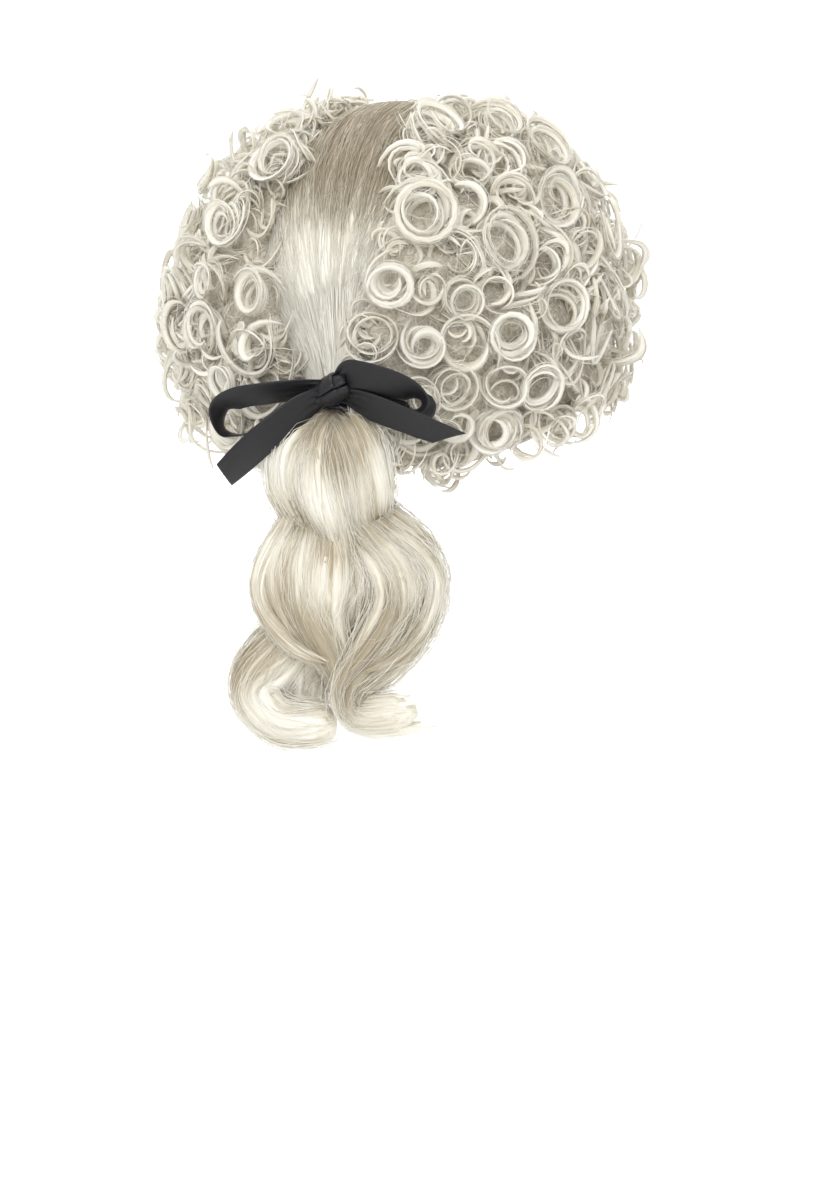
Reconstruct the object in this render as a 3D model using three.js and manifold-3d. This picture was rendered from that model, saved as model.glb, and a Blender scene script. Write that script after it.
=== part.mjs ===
// A powdered wig in its separate pieces: the cap that holds the head, the smooth hair combed back
// over it, a mass of ring curls at each side, and the queue, tied at the nape with a ribbon bow.
// Millimetres, +Z up. The origin is inside the crown, where the top of the head carries the wig.
// The face looks along -Y, the queue hangs at +Y, and +X is the wearer's left.
import * as THREE from "three";
import { mergeVertices } from "three/addons/utils/BufferGeometryUtils.js";
import Module from "manifold-3d";

const wasm = await Module();
wasm.setup();

// The head that the wig fits, and the cap
const headHalfBreadth = 76;
const headHalfLength = 97;
const crownHeight = 100; // from the head's widest level up to the inside of the crown
const napeReach = 135; // how far down the head would close if it kept narrowing
const capWall = 2;
const pieceGap = 0.4;

// The smooth hair combed back over the cap
const combedThickness = 9;
const combedOverhang = 3; // how far it falls past the edge of the cap
const combedLockWidth = 18;
const combedLockHeight = 3;

// The ring curls, and the matted hair that carries them
const stripHalfWidth = 30; // half of the smooth strip that they leave bare over the crown
const stripHalfWidthAtKnot = 21;
const backingAside = 21; // how far the matted hair stands off the combed hair, above the ear
const backingBehind = 16;
const backingAbove = 4;
const curlRadius = 18;
const curlStrandWidth = 22;
const curlStrandHeight = 9;
const curlLift = 6; // from the backing to the middle of the curl

// The queue
const knotDrop = 112;
const knotAside = -8;
const neckRadius = 12;
const neckLean = 42; // degrees below level
const neckStandoff = 14; // from the combed hair to the middle of the tie
const queueLength = 175; // from the tie to the lowest curl
const queueHalfWidth = 50;
const queueDepth = 34;

// The ribbon
const ribbonWidth = 15;
const ribbonThickness = 1;
const tieThickness = 1.5;
const bowHalfLength = 60;
const knotLength = 20;
const knotThickness = 13;

const whiteHair = { color: 0xdcd8cc, roughness: 0.45, metalness: 0 };
const palerHair = { color: 0xe6e3da, roughness: 0.4, metalness: 0 };
const capNet = { color: 0xcfc8b8, roughness: 0.85, metalness: 0 };
const blackSatin = { color: 0x17171a, roughness: 0.35, metalness: 0 };

// How far below the crown an edge runs, as a share of the crown height. Azimuth 0 is the forehead.
const capHem = [
  { azimuth: 0, drop: 0.5 },
  { azimuth: 30, drop: 0.56 },
  { azimuth: 50, drop: 0.95 },
  { azimuth: 66, drop: 1.4 },
  { azimuth: 90, drop: 1.24 },
  { azimuth: 120, drop: 1.34 },
  { azimuth: 150, drop: 1.48 },
  { azimuth: 180, drop: 1.58 },
];
const curlHem = [
  { azimuth: 0, drop: 0.5 },
  { azimuth: 28, drop: 0.62 },
  { azimuth: 44, drop: 1.0 },
  { azimuth: 60, drop: 1.5 },
  { azimuth: 76, drop: 1.42 },
  { azimuth: 95, drop: 1.37 },
  { azimuth: 130, drop: 1.46 },
  { azimuth: 155, drop: 1.56 },
  { azimuth: 180, drop: 1.62 },
];

// The ring curls of one side, in rows beside the smooth strip. Lean is degrees from the strip's middle
// line towards the ear, and sweep is degrees from the crown back towards the nape, less than 0 towards
// the forehead. Size is a share of the curl radius.
const curlRows = [
  { lean: 28, sweeps: [-42, -14, 14, 40, 64], size: 1 },
  { lean: 48, sweeps: [-76, -48, -20, 7, 34, 60, 84, 104], size: 1.05 },
  { lean: 70, sweeps: [-120, -66, -14, 34, 78, 116], size: 1.15 },
  { lean: 84, sweeps: [180], size: 1.1 },
  { lean: 20, sweeps: [85], size: 0.8 },
  { lean: 27, sweeps: [106], size: 0.9 },
];

// The queue's locks, from the tie down. Aside and behind are shares of the queue's half width, with
// aside towards the wearer's left; down is a share of its length, width of the half width, and depth
// of the queue's depth.
const queueLocks = {
  front: [
    { aside: 0.02, behind: 0.06, down: 0.0, width: 0.2, depth: 0.6 },
    { aside: 0.32, behind: 0.36, down: 0.14, width: 0.44, depth: 1.0 },
    { aside: 0.26, behind: 0.28, down: 0.33, width: 0.34, depth: 0.8 },
    { aside: 0.56, behind: 0.3, down: 0.47, width: 0.36, depth: 0.8 },
    { aside: 0.36, behind: 0.34, down: 0.64, width: 0.28, depth: 0.6 },
    { aside: -0.1, behind: 0.3, down: 0.75, width: 0.16, depth: 0.4 },
  ],
  right: [
    { aside: -0.06, behind: 0.06, down: 0.0, width: 0.2, depth: 0.6 },
    { aside: -0.32, behind: 0.32, down: 0.14, width: 0.38, depth: 1.0 },
    { aside: -0.34, behind: 0.26, down: 0.33, width: 0.34, depth: 0.8 },
    { aside: -0.78, behind: 0.2, down: 0.47, width: 0.36, depth: 0.8 },
    { aside: -0.84, behind: 0.22, down: 0.61, width: 0.26, depth: 0.7 },
    { aside: -0.5, behind: 0.24, down: 0.74, width: 0.28, depth: 0.7 },
    { aside: -0.24, behind: 0.3, down: 0.83, width: 0.24, depth: 0.7 },
    { aside: -0.46, behind: 0.36, down: 0.91, width: 0.22, depth: 0.7 },
    { aside: -0.98, behind: 0.38, down: 0.88, width: 0.18, depth: 0.6 },
  ],
  middle: [
    { aside: -0.02, behind: 0.02, down: 0.02, width: 0.2, depth: 0.6 },
    { aside: -0.02, behind: 0.2, down: 0.16, width: 0.4, depth: 1.0 },
    { aside: -0.02, behind: 0.14, down: 0.34, width: 0.4, depth: 0.9 },
    { aside: -0.12, behind: 0.1, down: 0.5, width: 0.56, depth: 0.9 },
    { aside: -0.2, behind: 0.12, down: 0.66, width: 0.44, depth: 0.8 },
    { aside: -0.14, behind: 0.14, down: 0.76, width: 0.24, depth: 0.6 },
  ],
  left: [
    { aside: 0.1, behind: 0.04, down: 0.46, width: 0.2, depth: 0.5 },
    { aside: 0.16, behind: 0.08, down: 0.6, width: 0.24, depth: 0.7 },
    { aside: 0.48, behind: 0.14, down: 0.69, width: 0.24, depth: 0.7 },
    { aside: 0.82, behind: 0.2, down: 0.79, width: 0.24, depth: 0.8 },
    { aside: 0.74, behind: 0.28, down: 0.91, width: 0.26, depth: 0.8 },
    { aside: 0.3, behind: 0.34, down: 0.96, width: 0.24, depth: 0.8 },
    { aside: -0.06, behind: 0.34, down: 0.93, width: 0.16, depth: 0.6 },
  ],
};

// The bow's ribbons, from the knot. Along, down and out are shares of the bow's half length, with
// along towards the wearer's left. Width is a share of the ribbon's, less where it is gathered, and
// lean turns it from upright towards the back, in degrees.
const bowLoops = {
  ribbon_loop_left: [
    { along: 0.04, down: 0.0, out: 0.03, width: 0.5, lean: 30 },
    { along: 0.28, down: 0.06, out: 0.06, width: 0.9, lean: 30 },
    { along: 0.65, down: 0.1, out: 0.12, width: 1, lean: 30 },
    { along: 0.9, down: 0.2, out: 0.08, width: 1, lean: 40 },
    { along: 1.04, down: 0.38, out: -0.03, width: 1, lean: 60 },
    { along: 0.96, down: 0.51, out: -0.12, width: 1, lean: 80 },
    { along: 0.69, down: 0.46, out: -0.14, width: 1, lean: 80 },
    { along: 0.34, down: 0.22, out: -0.1, width: 0.8, lean: 70 },
    { along: 0.04, down: 0.03, out: -0.04, width: 0.4, lean: 60 },
  ],
  ribbon_loop_right: [
    { along: -0.04, down: -0.04, out: 0.04, width: 0.5, lean: 20 },
    { along: -0.22, down: -0.17, out: 0.09, width: 0.9, lean: 20 },
    { along: -0.51, down: -0.18, out: 0.12, width: 1, lean: 25 },
    { along: -0.72, down: -0.09, out: 0.08, width: 1, lean: 40 },
    { along: -0.78, down: 0.1, out: -0.02, width: 1, lean: 50 },
    { along: -0.64, down: 0.2, out: -0.1, width: 1, lean: 55 },
    { along: -0.43, down: 0.12, out: -0.12, width: 1, lean: 50 },
    { along: -0.2, down: 0.02, out: -0.08, width: 0.7, lean: 45 },
    { along: -0.02, down: -0.01, out: -0.03, width: 0.4, lean: 45 },
  ],
};
const bowTails = {
  ribbon_tail_left: [
    { along: 0.02, down: 0.06, out: 0.06, width: 0.5, lean: 10 },
    { along: 0.28, down: 0.24, out: 0.22, width: 0.95, lean: 8 },
    { along: 0.59, down: 0.5, out: 0.24, width: 1, lean: 4 },
    { along: 0.93, down: 0.82, out: 0.12, width: 1, lean: 0 },
  ],
  ribbon_tail_right: [
    { along: -0.04, down: 0.07, out: 0.05, width: 0.5, lean: 20 },
    { along: -0.28, down: 0.22, out: 0.12, width: 0.95, lean: 10 },
    { along: -0.62, down: 0.34, out: 0.12, width: 1, lean: 6 },
    { along: -1.04, down: 0.44, out: 0.1, width: 1, lean: 4 },
  ],
};

const mergeDistance = 0.001;
const azimuthSteps = 16;
const polarSteps = 7;
const lowestPolar = 126;

const radians = THREE.MathUtils.degToRad;
const headCentre = new THREE.Vector3(0, 0, -crownHeight);

// A closed solid from a geometry's positions and faces, which are turned outwards.
function solidOf(geometry) {
  const bare = new THREE.BufferGeometry();
  bare.setAttribute("position", geometry.getAttribute("position"));
  if (geometry.index) bare.setIndex(geometry.index);
  const merged = mergeVertices(bare, mergeDistance);
  const made = new wasm.Manifold(
    new wasm.Mesh({
      numProp: 3,
      vertProperties: new Float32Array(merged.attributes.position.array),
      triVerts: new Uint32Array(merged.index.array),
    }),
  );
  if (made.volume() > 0) return made;
  const turned = Array.from(merged.index.array);
  for (let i = 0; i < turned.length; i += 3) {
    [turned[i], turned[i + 1]] = [turned[i + 1], turned[i]];
  }
  merged.setIndex(turned);
  return solidOf(merged);
}

function geometryOf(solid) {
  const mesh = solid.getMesh();
  const geometry = new THREE.BufferGeometry();
  geometry.setAttribute("position", new THREE.BufferAttribute(new Float32Array(mesh.vertProperties), 3));
  geometry.setIndex(new THREE.BufferAttribute(new Uint32Array(mesh.triVerts), 1));
  return geometry;
}

// The largest body of a solid, without the crumbs that a cut leaves loose.
function mainBody(solid) {
  return solid.decompose().reduce((best, body) => (body.volume() > best.volume() ? body : best));
}

// A solid through rings of points, each closed on itself, with a point or a flat end at each side. The
// second half of each ring is split along the first half's diagonals, so that a twisted ribbon keeps
// its thickness.
function loft(rings, startPoint = null, endPoint = null) {
  const sides = rings[0].length;
  const points = rings.flat();
  const faces = [];
  for (let ring = 0; ring + 1 < rings.length; ring++) {
    for (let side = 0; side < sides; side++) {
      const next = (side + 1) % sides;
      const [a, b] = [ring * sides + side, ring * sides + next];
      const [c, d] = [b + sides, a + sides];
      faces.push(...(side < sides / 2 ? [a, b, c, a, c, d] : [a, b, d, b, c, d]));
    }
  }
  const close = (first, tip, forwards) => {
    const corners = Array.from({ length: sides }, (_, side) => first + side);
    const tipIndex = tip ? points.push(tip) - 1 : corners.shift();
    const count = tip ? sides : sides - 2;
    for (let side = 0; side < count; side++) {
      const a = corners[side];
      const b = corners[(side + 1) % corners.length];
      faces.push(tipIndex, forwards ? a : b, forwards ? b : a);
    }
  };
  close(0, startPoint, false);
  close((rings.length - 1) * sides, endPoint, true);
  const geometry = new THREE.BufferGeometry().setFromPoints(points);
  geometry.setIndex(faces);
  return solidOf(geometry);
}

// A direction from the head's centre, by degrees round it from the forehead and down from the crown.
function towards(azimuth, polar) {
  const ball = new THREE.Vector3().setFromSphericalCoords(1, radians(polar), radians(azimuth));
  return new THREE.Vector3(ball.x, -ball.z, ball.y);
}

// The same by a lean from the middle line towards the wearer's left, and a sweep from crown to nape.
function besideStrip(lean, sweep) {
  const level = Math.cos(radians(lean));
  return new THREE.Vector3(
    Math.sin(radians(lean)),
    level * Math.sin(radians(sweep)),
    level * Math.cos(radians(sweep)),
  );
}

// A point on the head in a direction, with the surface grown outwards by some millimetres, which may
// differ to the sides, to the back and over the crown.
function headPoint(direction, aside, behind = aside, above = aside) {
  const reach = direction.z > 0 ? crownHeight + above : napeReach + behind;
  return new THREE.Vector3(headHalfBreadth + aside, headHalfLength + behind, reach)
    .multiply(direction)
    .add(headCentre);
}

// The direction straight out of the head there.
function headNormal(direction) {
  const reach = direction.z > 0 ? crownHeight : napeReach;
  return direction
    .clone()
    .divide(new THREE.Vector3(headHalfBreadth, headHalfLength, reach))
    .normalize();
}

// The filled shape of the head, grown by some millimetres and closed below the nape.
function filledHead(...grow) {
  const rings = [];
  for (let level = 1; level <= polarSteps; level++) {
    const polar = (lowestPolar * level) / polarSteps;
    const ring = [];
    for (let step = 0; step < azimuthSteps; step++) {
      ring.push(headPoint(towards((360 * step) / azimuthSteps, polar), ...grow));
    }
    rings.push(ring);
  }
  return loft(rings, headPoint(towards(0, 0), ...grow));
}

// How far below the crown a table's edge runs at an azimuth on either side.
function hemDrop(hem, azimuth) {
  const turned = Math.abs(((azimuth + 180) % 360) - 180);
  const next = Math.max(1, hem.findIndex((row) => row.azimuth >= turned));
  const [low, high] = [hem[next - 1], hem[next]];
  const share = THREE.MathUtils.smoothstep(turned, low.azimuth, high.azimuth);
  return crownHeight * THREE.MathUtils.lerp(low.drop, high.drop, share);
}

// Everything below a hem, let down by some millimetres.
function belowHem(hem, lower) {
  const hemSteps = 1.5 * azimuthSteps;
  const ringAt = (radius, heightAt) =>
    Array.from({ length: hemSteps }, (_, step) => {
      const azimuth = (360 * step) / hemSteps;
      const turn = radians(azimuth);
      return new THREE.Vector3(radius * Math.sin(turn), -radius * Math.cos(turn), heightAt(azimuth));
    });
  const edge = (azimuth) => -hemDrop(hem, azimuth) - lower;
  const rings = [0.1, 0.6, 1.5, 3].map((share) => ringAt(share * headHalfLength, edge));
  const floor = -4 * crownHeight;
  rings.push(ringAt(3 * headHalfLength, () => floor));
  return loft(rings, new THREE.Vector3(0, 0, edge(0)), new THREE.Vector3(0, 0, floor));
}

// Frames along a curve: the point, the direction across it, and the direction away from a centre.
function framesAlong(curve, steps, outwardAt) {
  const frames = [];
  for (let step = 0; step <= steps; step++) {
    const share = step / steps;
    const point = curve.getPoint(share);
    const ahead = curve.getTangent(share);
    const outward = outwardAt(point, share).clone();
    outward.addScaledVector(ahead, -outward.dot(ahead)).normalize();
    const across = new THREE.Vector3().crossVectors(outward, ahead).normalize();
    frames.push({ point, across, outward, share });
  }
  return frames;
}

// A lock of hair: an oval of changing width and depth that follows the frames.
function lockSolid(frames, sides, halfWidthAt, halfDepthAt) {
  const rings = frames.map((frame) => {
    const ring = [];
    for (let side = 0; side < sides; side++) {
      const turn = (2 * Math.PI * side) / sides;
      ring.push(
        frame.point
          .clone()
          .addScaledVector(frame.across, halfWidthAt(frame.share) * Math.cos(turn))
          .addScaledVector(frame.outward, halfDepthAt(frame.share) * Math.sin(turn)),
      );
    }
    return ring;
  });
  return loft(rings);
}

// A value from a table's column at a share of its length.
function columnAt(table, column) {
  const line = new THREE.SplineCurve(
    table.map((row, index) => new THREE.Vector2(index, row[column])),
  );
  return (share) => line.getPoint(share).y;
}

// The surfaces that the layers of hair reach, grown from the head
const combedGrow = capWall + pieceGap + combedThickness;
const backingGrow = [backingAside, backingBehind, backingAbove].map(
  (thickness) => combedGrow + pieceGap + thickness,
);

// The knot's place on the head, and where its ribbon meets the combed hair
const knotSweep = 90 + THREE.MathUtils.radToDeg(Math.asin((knotDrop - crownHeight) / napeReach));
const knotDirection = besideStrip(0, knotSweep);
const neckRoot = headPoint(knotDirection, combedGrow).add(new THREE.Vector3(knotAside, 0, 0));
const neckAhead = new THREE.Vector3(0, Math.cos(radians(neckLean)), -Math.sin(radians(neckLean)));
const neckUp = new THREE.Vector3(0, Math.sin(radians(neckLean)), Math.cos(radians(neckLean)));
const tieCentre = neckRoot.clone().addScaledVector(neckAhead, neckStandoff);
const tieRadius = neckRadius + pieceGap + tieThickness;
const knotCentre = tieCentre.clone().addScaledVector(neckUp, tieRadius + pieceGap + knotThickness / 2);

// The broad locks that show in the smooth strip fan out from the knot, over the crown to the forehead.
const combedTurns = [-18, -6, 6, 18];
const combedFrom = 12;
const combedTo = 150;
const combedSteps = 9;

// A direction at a turn round the knot and an angle away from it.
function awayFromKnot(turn, away) {
  const aside = new THREE.Vector3(1, 0, 0);
  const over = new THREE.Vector3().crossVectors(aside, knotDirection);
  return knotDirection
    .clone()
    .multiplyScalar(Math.cos(radians(away)))
    .addScaledVector(over, Math.sin(radians(away)) * Math.cos(radians(turn)))
    .addScaledVector(aside, Math.sin(radians(away)) * Math.sin(radians(turn)));
}

function combedLock(turn, grow) {
  const points = [];
  for (let step = 0; step <= combedSteps; step++) {
    const away = THREE.MathUtils.lerp(combedFrom, combedTo, step / combedSteps);
    points.push(headPoint(awayFromKnot(turn, away), combedGrow - combedLockHeight / 2));
  }
  const frames = framesAlong(new THREE.CatmullRomCurve3(points), combedSteps, (point) =>
    point.clone().sub(headCentre),
  );
  const widest = 0.6;
  const width = (share) => (combedLockWidth / 2) * (share < widest ? 0.35 + (0.65 * share) / widest : 1);
  return lockSolid(
    frames,
    6,
    (share) => width(share) + grow,
    () => combedLockHeight + grow,
  );
}

function combedSolid(grow) {
  const shell = filledHead(combedGrow + grow);
  return combedTurns.reduce((whole, turn) => whole.add(combedLock(turn, grow)), shell);
}

// A turned shape round the neck's axis, with its origin at the middle of the tie.
function turnedOnNeck(profile, steps) {
  const geometry = new THREE.LatheGeometry(
    profile.map(([radius, along]) => new THREE.Vector2(radius, along)),
    steps,
  );
  geometry.applyQuaternion(new THREE.Quaternion().setFromUnitVectors(new THREE.Vector3(0, 1, 0), neckAhead));
  geometry.translate(tieCentre.x, tieCentre.y, tieCentre.z);
  return solidOf(geometry);
}

// The hair gathered off the head into the tie.
function gatherSolid(grow) {
  const half = ribbonWidth / 2;
  return turnedOnNeck(
    [
      [0, -neckStandoff - half],
      [2.4 * neckRadius + grow, -neckStandoff - half],
      [1.3 * neckRadius + grow, -half],
      [neckRadius + grow, -0.7 * half],
      [neckRadius + grow, 0.7 * half],
      [1.2 * neckRadius + grow, 1.3 * half],
      [0, 2.2 * half + grow],
    ],
    14,
  );
}

// The tie: the ribbon wound round the gathered hair.
function tieSolid(grow) {
  const inside = neckRadius + pieceGap - grow;
  const outside = tieRadius + grow;
  const half = ribbonWidth / 2 + grow;
  return turnedOnNeck(
    [
      [inside, -half],
      [outside, -0.8 * half],
      [outside, 0.8 * half],
      [inside, half],
      [inside, -half],
    ],
    20,
  );
}

function queueLock(table, grow) {
  const points = table.map(
    (row) =>
      new THREE.Vector3(
        tieCentre.x + row.aside * queueHalfWidth,
        tieCentre.y + row.behind * queueHalfWidth,
        tieCentre.z - row.down * queueLength,
      ),
  );
  const frames = framesAlong(
    new THREE.CatmullRomCurve3(points),
    2 * (table.length - 1),
    () => new THREE.Vector3(0, 1, 0),
  );
  const width = columnAt(table, "width");
  const depth = columnAt(table, "depth");
  return lockSolid(
    frames,
    6,
    (share) => width(share) * queueHalfWidth + grow,
    (share) => (depth(share) * queueDepth) / 2 + grow,
  );
}

function knotSolid(grow) {
  const geometry = new THREE.SphereGeometry(0.5, 12, 8);
  geometry.scale(knotLength + 2 * grow, ribbonWidth + 2 * grow, knotThickness + 2 * grow);
  geometry.applyQuaternion(new THREE.Quaternion().setFromUnitVectors(new THREE.Vector3(0, 0, 1), neckUp));
  geometry.translate(knotCentre.x, knotCentre.y, knotCentre.z);
  return solidOf(geometry);
}

// A length of ribbon along a table's rows.
function ribbonSolid(table, grow) {
  const points = table.map((row) =>
    new THREE.Vector3(row.along, row.out, -row.down).multiplyScalar(bowHalfLength).add(knotCentre),
  );
  const lean = columnAt(table, "lean");
  const frames = framesAlong(new THREE.CatmullRomCurve3(points), 2 * (table.length - 1), (point, share) => {
    const turn = radians(lean(share));
    return new THREE.Vector3(0, Math.sin(turn), Math.cos(turn));
  });
  const width = columnAt(table, "width");
  const thick = ribbonThickness / 2 + grow;
  const rings = frames.map((frame) => {
    const wide = (width(frame.share) * ribbonWidth) / 2 + grow;
    const corners = [
      [-thick, -wide],
      [thick, -wide],
      [thick, wide],
      [-thick, wide],
    ];
    return corners.map(([through, along]) =>
      frame.point.clone().addScaledVector(frame.across, through).addScaledVector(frame.outward, along),
    );
  });
  return loft(rings);
}

// A ring curl: a lock coiled on itself round the direction out of the head, and sunk in the backing.
function ringCurl(lean, sweep, size) {
  const direction = besideStrip(lean, sweep);
  const tube = curlStrandHeight / 2;
  const geometry = new THREE.TorusGeometry(size * curlRadius - tube, tube, 5, 7);
  geometry.scale(1, 1, curlStrandWidth / curlStrandHeight);
  const axis = headNormal(direction);
  geometry.applyQuaternion(new THREE.Quaternion().setFromUnitVectors(new THREE.Vector3(0, 0, 1), axis));
  const middle = headPoint(direction, ...backingGrow).addScaledVector(axis, curlLift);
  geometry.translate(middle.x, middle.y, middle.z);
  return solidOf(geometry);
}

// The matted hair that carries one side's curls. It slopes up from the edge of the smooth strip, which
// narrows towards the knot.
function curlBacking() {
  const reach = 2 * headHalfBreadth;
  const edge = crownHeight + combedGrow;
  const side = new THREE.CylinderGeometry(edge + reach, edge, reach, azimuthSteps);
  side.rotateZ(-Math.PI / 2);
  side.translate(reach / 2, 0, 0);
  side.rotateZ(Math.atan((stripHalfWidth - stripHalfWidthAtKnot) / headHalfLength));
  side.translate(stripHalfWidth, 0, headCentre.z);
  return filledHead(...backingGrow).intersect(solidOf(side)).subtract(belowHem(curlHem, 0));
}

function joined(solids) {
  return solids.reduce((whole, solid) => whole.add(solid));
}

const ribbonTables = Object.values({ ...bowLoops, ...bowTails });
const knotKeepOut = knotSolid(pieceGap).add(tieSolid(pieceGap));
const ribbonKeepOut = joined([knotKeepOut, ...ribbonTables.map((table) => ribbonSolid(table, pieceGap))]);
const combedKeepOut = combedSolid(pieceGap);

function capSolid() {
  return filledHead(capWall).subtract(filledHead(0)).subtract(belowHem(capHem, 0));
}

function combedHairSolid() {
  return combedSolid(0)
    .subtract(filledHead(capWall + pieceGap))
    .subtract(belowHem(capHem, combedOverhang))
    .subtract(ribbonKeepOut);
}

function queueSolid(grow) {
  const locks = Object.values(queueLocks).map((table) => queueLock(table, grow));
  return joined([gatherSolid(grow), ...locks]);
}

function curlsSolid(side) {
  const rings = curlRows.flatMap((row) => row.sweeps.map((sweep) => ringCurl(row.lean, sweep, row.size)));
  const whole = joined([curlBacking(), ...rings]);
  const placed = side > 0 ? whole : whole.mirror([1, 0, 0]);
  return placed.subtract(combedKeepOut).subtract(ribbonKeepOut).subtract(queueSolid(pieceGap));
}

// A mesh whose geometry is kept round its own group's place.
function meshOf(name, solid, finish, place) {
  const geometry = geometryOf(mainBody(solidOf(geometryOf(mainBody(solid)))));
  geometry.translate(-place.x, -place.y, -place.z);
  geometry.computeVertexNormals();
  const mesh = new THREE.Mesh(geometry, new THREE.MeshStandardMaterial(finish));
  mesh.name = name;
  return mesh;
}

function groupAt(place, pieces, finish) {
  const group = new THREE.Group();
  group.position.copy(place);
  for (const [name, solid] of Object.entries(pieces)) {
    group.add(meshOf(name, solid, finish, place));
  }
  return group;
}

const bowPieces = { ribbon_tie: tieSolid(0), ribbon_knot: knotSolid(0) };
for (const [name, table] of Object.entries({ ...bowLoops, ...bowTails })) {
  bowPieces[name] = ribbonSolid(table, 0).subtract(knotKeepOut);
}
const queue = queueSolid(0).subtract(combedKeepOut).subtract(ribbonKeepOut);
const crown = new THREE.Vector3();

const wig = new THREE.Group();
wig.add(groupAt(crown, { cap: capSolid() }, capNet));
wig.add(groupAt(crown, { combed_hair: combedHairSolid() }, whiteHair));
wig.add(groupAt(crown, { curls_left: curlsSolid(1), curls_right: curlsSolid(-1) }, palerHair));
wig.add(groupAt(tieCentre, { queue }, palerHair));
wig.add(groupAt(knotCentre, bowPieces, blackSatin));

export default wig;
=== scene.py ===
"""A powdered wig with ring curls and a ribboned queue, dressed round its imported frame."""
import math

import bpy
import numpy as np
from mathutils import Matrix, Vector


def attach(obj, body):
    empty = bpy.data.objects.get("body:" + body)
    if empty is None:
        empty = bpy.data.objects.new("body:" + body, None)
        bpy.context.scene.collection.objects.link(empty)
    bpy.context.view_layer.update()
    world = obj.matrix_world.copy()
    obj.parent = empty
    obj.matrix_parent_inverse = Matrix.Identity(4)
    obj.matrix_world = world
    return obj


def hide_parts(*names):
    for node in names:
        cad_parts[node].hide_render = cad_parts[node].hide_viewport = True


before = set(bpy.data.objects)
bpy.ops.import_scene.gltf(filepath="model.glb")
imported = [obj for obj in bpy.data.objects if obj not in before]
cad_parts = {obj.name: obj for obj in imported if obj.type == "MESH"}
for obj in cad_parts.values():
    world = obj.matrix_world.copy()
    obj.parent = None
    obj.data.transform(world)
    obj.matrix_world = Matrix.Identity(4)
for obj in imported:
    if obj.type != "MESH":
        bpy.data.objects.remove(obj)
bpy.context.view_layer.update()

bl_info = {
    "name": "Powdered Wig",
    "version": (1, 0, 0),
    "blender": (4, 5, 0),
    "location": "View3D > Sidebar > Wig",
    "description": "Dresses a powdered wig: combed crown, ring curls, queue and ribbon bow",
    "category": "Object",
}

MM = 0.001
BACKWARDS = np.array([0.0, 1.0, 0.0])
ASIDE = np.array([1.0, 0.0, 0.0])
UPWARDS = np.array([0.0, 0.0, 1.0])

# The head that the wig fits, as the frame's own solids have it
HALF_BREADTH = 76 * MM
HALF_LENGTH = 97 * MM
CROWN_HEIGHT = 100 * MM
NAPE_REACH = 135 * MM
HEAD_CENTRE = np.array([0.0, 0.0, -CROWN_HEIGHT])

# How far each layer stands off the head
CAP_OUTSIDE = 2 * MM
COMBED_INSIDE = 2.4 * MM
COMBED_OUTSIDE = 10.6 * MM
BACKING_INSIDE = 12 * MM
# The curls' mass is deepest above the ears and shallow over the crown: to the sides, back and up.
MASS = np.array([37.0, 29.0, 14.0]) * MM
RING_LIFT = 5 * MM

# Where the queue leaves the head
KNOT_SWEEP = 95.1
TIE_CENTRE = np.array([-8.0, 118.4, -122.4]) * MM
KNOT_CENTRE = np.array([-8.0, 132.3, -106.9]) * MM
NECK_AHEAD = np.array([0.0, math.cos(math.radians(42)), -math.sin(math.radians(42))])
NECK_UP = np.array([0.0, math.sin(math.radians(42)), math.cos(math.radians(42))])
NECK_RADIUS = 12 * MM
QUEUE_LENGTH = 175 * MM
QUEUE_HALF_WIDTH = 50 * MM
QUEUE_DEPTH = 34 * MM
BOW_HALF_LENGTH = 60 * MM

# How far below the crown an edge runs, as a share of the crown height, at degrees from the forehead
CAP_HEM = [(0, 0.5), (30, 0.56), (50, 0.95), (66, 1.4), (90, 1.24), (120, 1.34), (150, 1.48), (180, 1.58)]
CURL_HEM = [(0, 0.5), (28, 0.62), (44, 1.0), (60, 1.5), (76, 1.42), (95, 1.37), (130, 1.46), (155, 1.56),
            (180, 1.62)]

# The smooth strip's edges as shares of its half width: degrees from the crown back, left and right
STRIP = [(-65, 1.0, 0.95), (0, 1.2, 0.8), (11, 1.27, 0.74), (42, 1.33, 0.74), (59, 1.5, 0.7), (83, 0.88, 0.42),
         (100, 0.55, 0.35), (130, 0.4, 0.35)]

# The largest ring curls: degrees from the middle line towards the ear, degrees from the crown back,
# and the curl's outer radius in millimetres
RIGHT_CURLS = [
    (18.6, 20.1, 14), (32.6, 5.0, 13), (22.3, 53.5, 16), (44.7, 52.3, 19), (54.9, 20.9, 17),
    (62.7, 68.0, 16), (47.7, 79.8, 13), (35.5, 72.0, 12), (17.4, 70.1, 12), (26.2, 82.8, 12),
    (33.5, 93.3, 12), (42.7, 103.4, 13), (75.3, 85.4, 13), (31.5, 32.9, 13), (42.6, -8.5, 14),
    (54.3, -23.6, 13), (69.4, -2.9, 13), (55.9, 96.8, 13),
]
LEFT_CURLS = [
    (25.0, 36.0, 15), (34.5, 56.0, 14), (21.2, 73.5, 13), (39.8, 3.2, 13), (55.5, 17.0, 13),
    (59.1, 42.2, 12), (57.7, 70.6, 12), (37.3, 82.5, 12), (51.3, 97.7, 12), (29.0, 94.0, 11),
    (37.0, 70.3, 11),
]

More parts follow.
